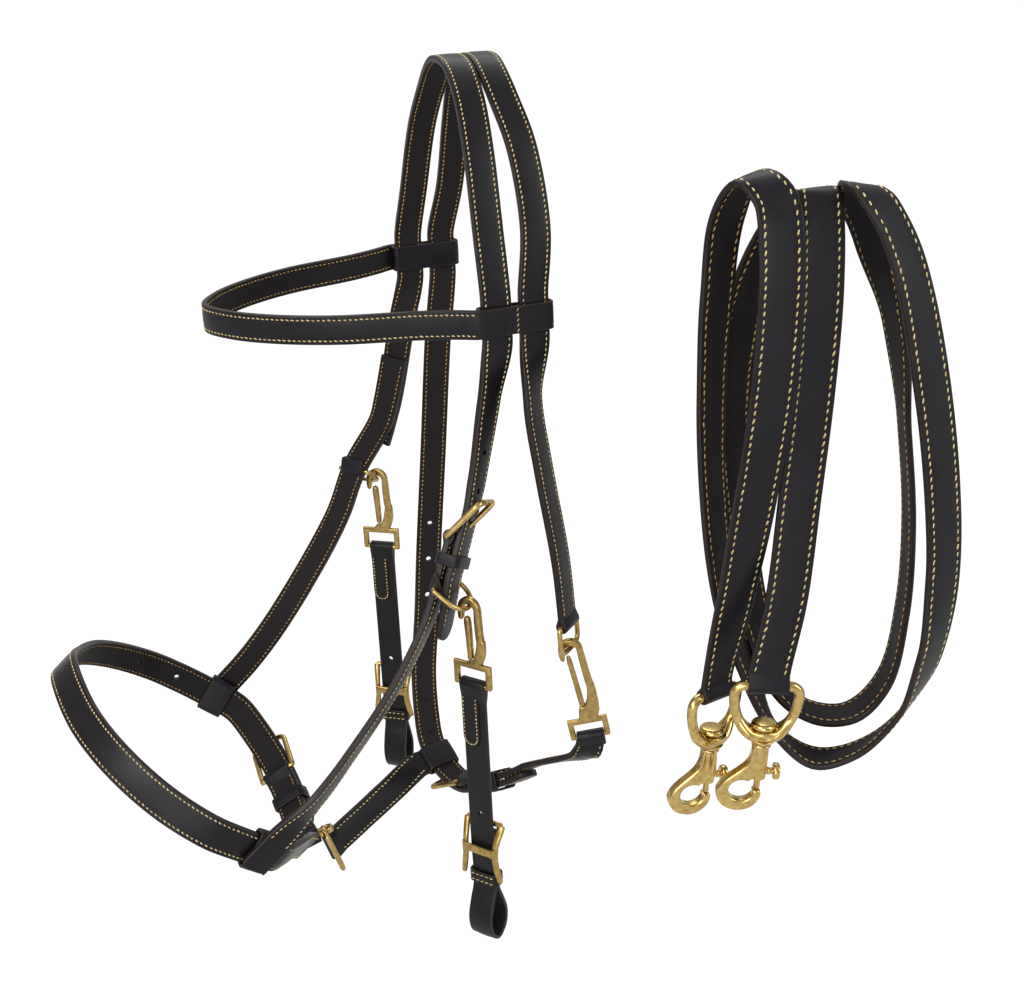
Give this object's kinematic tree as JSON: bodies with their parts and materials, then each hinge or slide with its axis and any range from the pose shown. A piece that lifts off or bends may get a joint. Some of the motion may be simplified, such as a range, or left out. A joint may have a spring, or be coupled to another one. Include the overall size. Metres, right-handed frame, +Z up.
{
  "type": "halter bridle",
  "caption": "Leather headstall with crown, browband, noseband, jaw strap and throat latch, hook-on bit hangers, and reins with swivel bolt snaps.",
  "frame": {"origin": "middle of the underside of the crown, where it rests on the poll", "axes": "+X toward the tail, +Z up, near side at -Y"},
  "size_m": [0.5233, 0.3724, 0.5658],
  "materials": {
    "black_leather": "waxed black bridle leather, edges dyed dark brown, gold stitching",
    "dull_brass": "antique brass, slightly tarnished",
    "polished_brass": "polished warm brass"
  },
  "bodies": {
    "headstall": {"crown_front_strap": "black_leather", "crown_rear_strap": "black_leather", "browband": "black_leather", "noseband": "black_leather", "noseband_chape": "black_leather", "cheek_strap_near": "black_leather", "cheek_strap_far": "black_leather", "jaw_strap": "black_leather", "throat_strap": "black_leather", "cheek_keeper": "black_leather", "noseband_keeper": "black_leather", "throat_keeper": "black_leather", "cheek_buckle": "dull_brass", "noseband_buckle": "dull_brass", "throat_buckle": "dull_brass", "chin_ring": "dull_brass"},
    "cheek_tongue": {"cheek_buckle_tongue": "dull_brass"},
    "noseband_tongue": {"noseband_buckle_tongue": "dull_brass"},
    "throat_tongue": {"throat_buckle_tongue": "dull_brass"},
    "jaw_link": {"jaw_ring": "dull_brass"},
    "throat_link": {"throat_ring": "dull_brass"},
    "throat_hook": {"throat_snap": "dull_brass"},
    "throat_gate": {"throat_snap_gate": "dull_brass"},
    "near_ring": {"bit_ring_near": "dull_brass"},
    "far_ring": {"bit_ring_far": "dull_brass"},
    "near_hook": {"hanger_snap_near": "dull_brass"},
    "near_gate": {"hanger_gate_near": "dull_brass"},
    "near_hanger": {"hanger_strap_near": "black_leather", "hanger_buckle_near": "dull_brass", "hanger_keeper_near": "black_leather"},
    "far_hook": {"hanger_snap_far": "dull_brass"},
    "far_gate": {"hanger_gate_far": "dull_brass"},
    "far_hanger": {"hanger_strap_far": "black_leather", "hanger_buckle_far": "dull_brass", "hanger_keeper_far": "black_leather"},
    "reins": {"rein_strap": "black_leather"},
    "right_rein_ring": {"rein_ring_right": "polished_brass"},
    "right_rein_snap": {"rein_snap_right": "polished_brass"},
    "right_rein_bolt": {"rein_bolt_right": "polished_brass"},
    "left_rein_ring": {"rein_ring_left": "polished_brass"},
    "left_rein_snap": {"rein_snap_left": "polished_brass"},
    "left_rein_bolt": {"rein_bolt_left": "polished_brass"}
  },
  "joints": [
    {"name": "cheek_tongue_lift", "type": "hinge", "parent": "headstall", "child": "cheek_tongue", "pos_m": [-0.055, -0.1015, -0.272], "axis": [0.6018, 0.7173, -0.3512], "range_deg": [0, 5]},
    {"name": "noseband_tongue_lift", "type": "hinge", "parent": "headstall", "child": "noseband_tongue", "pos_m": [-0.15556, 0.05765, -0.50874], "axis": [-0.8377, 0.1805, -0.5154], "range_deg": [0, 5]},
    {"name": "throat_tongue_lift", "type": "hinge", "parent": "headstall", "child": "throat_tongue", "pos_m": [-0.02813, -0.00438, -0.50748], "axis": [-0.893, -0.4494, 0.0225], "range_deg": [0, 5]},
    {"name": "jaw_ring_swing", "type": "hinge", "parent": "headstall", "child": "jaw_link", "pos_m": [-0.13364, -0.013, -0.53314], "axis": [0.295, -0.2005, -0.9342], "range_deg": [-3, 3]},
    {"name": "throat_ring_swing", "type": "hinge", "parent": "headstall", "child": "throat_link", "pos_m": [0.016, -0.108, -0.344], "axis": [0.7427, 0.6687, 0.0358], "range_deg": [-1.2, 0.25]},
    {"name": "throat_snap_swing", "type": "hinge", "parent": "headstall", "child": "throat_hook", "pos_m": [0.033, -0.1, -0.436], "axis": [0.9242, -0.3441, 0.1656], "range_deg": [-0.6, 0.15]},
    {"name": "throat_gate_press", "type": "hinge", "parent": "throat_hook", "child": "throat_gate", "pos_m": [0.02609, -0.1028, -0.40811], "axis": [0.3165, 0.9329, 0.1721], "range_deg": [0, 6], "stiffness_Nm_per_rad": 0.05, "springref_deg": -8.59},
    {"name": "near_ring_swing", "type": "hinge", "parent": "headstall", "child": "near_ring", "pos_m": [-0.067, -0.108, -0.299], "axis": [-0.65, -0.76, 0], "range_deg": [-3, 3]},
    {"name": "near_hook_swing", "type": "hinge", "parent": "near_ring", "child": "near_hook", "pos_m": [-0.05341, -0.11962, -0.31347], "axis": [-0.7986, -0.6018, 0], "range_deg": [-8, 8]},
    {"name": "near_gate_press", "type": "hinge", "parent": "near_hook", "child": "near_gate", "pos_m": [-0.0539, -0.11898, -0.34647], "axis": [0.7986, 0.6018, 0], "range_deg": [0, 8], "stiffness_Nm_per_rad": 0.05, "springref_deg": -8.59},
    {"name": "near_strap_swing", "type": "hinge", "parent": "near_hook", "child": "near_hanger", "pos_m": [-0.05341, -0.11962, -0.36797], "axis": [0.6018, -0.7986, 0], "range_deg": [-10, 10]},
    {"name": "far_ring_swing", "type": "hinge", "parent": "headstall", "child": "far_ring", "pos_m": [-0.067, 0.108, -0.299], "axis": [-0.65, 0.76, 0], "range_deg": [-3, 3]},
    {"name": "far_hook_swing", "type": "hinge", "parent": "far_ring", "child": "far_hook", "pos_m": [-0.05002, 0.10805, -0.30948], "axis": [-0.5736, -0.8191, 0], "range_deg": [-8, 2]},
    {"name": "far_gate_press", "type": "hinge", "parent": "far_hook", "child": "far_gate", "pos_m": [-0.05067, 0.10851, -0.34248], "axis": [0.5736, 0.8191, 0], "range_deg": [0, 8], "stiffness_Nm_per_rad": 0.05, "springref_deg": -8.59},
    {"name": "far_strap_swing", "type": "hinge", "parent": "far_hook", "child": "far_hanger", "pos_m": [-0.05002, 0.10805, -0.36398], "axis": [0.8191, -0.5736, 0], "range_deg": [-5, 10]},
    {"name": "reins_lift", "type": "slide", "parent": "headstall", "child": "reins", "axis": [0, 0, 1], "range_m": [0, 0.15]},
    {"name": "right_ring_swing", "type": "hinge", "parent": "reins", "child": "right_rein_ring", "pos_m": [0.10148, -0.21921, -0.357], "axis": [0.943, -0.321, -0.0872], "range_deg": [-8, 4]},
    {"name": "right_snap_swivel", "type": "hinge", "parent": "right_rein_ring", "child": "right_rein_snap", "pos_m": [0.09828, -0.21812, -0.39565], "axis": [0.0825, -0.0281, 0.9962], "range_deg": [-10, 10]},
    {"name": "right_bolt_pull", "type": "slide", "parent": "right_rein_snap", "child": "right_rein_bolt", "axis": [0.0825, -0.0281, 0.9962], "range_m": [0, 0.008], "stiffness_N_per_m": 400, "springref_m": -0.004},
    {"name": "left_ring_swing", "type": "hinge", "parent": "reins", "child": "left_rein_ring", "pos_m": [0.08326, -0.18554, -0.3743], "axis": [0.9415, 0.3298, -0.0687], "range_deg": [-4, 8]},
    {"name": "left_snap_swivel", "type": "hinge", "parent": "left_rein_ring", "child": "left_rein_snap", "pos_m": [0.08006, -0.18445, -0.41295], "axis": [0.0825, -0.0281, 0.9962], "range_deg": [-10, 10]},
    {"name": "left_bolt_pull", "type": "slide", "parent": "left_rein_snap", "child": "left_rein_bolt", "axis": [0.0825, -0.0281, 0.9962], "range_m": [0, 0.008], "stiffness_N_per_m": 400, "springref_m": -0.004}
  ]
}
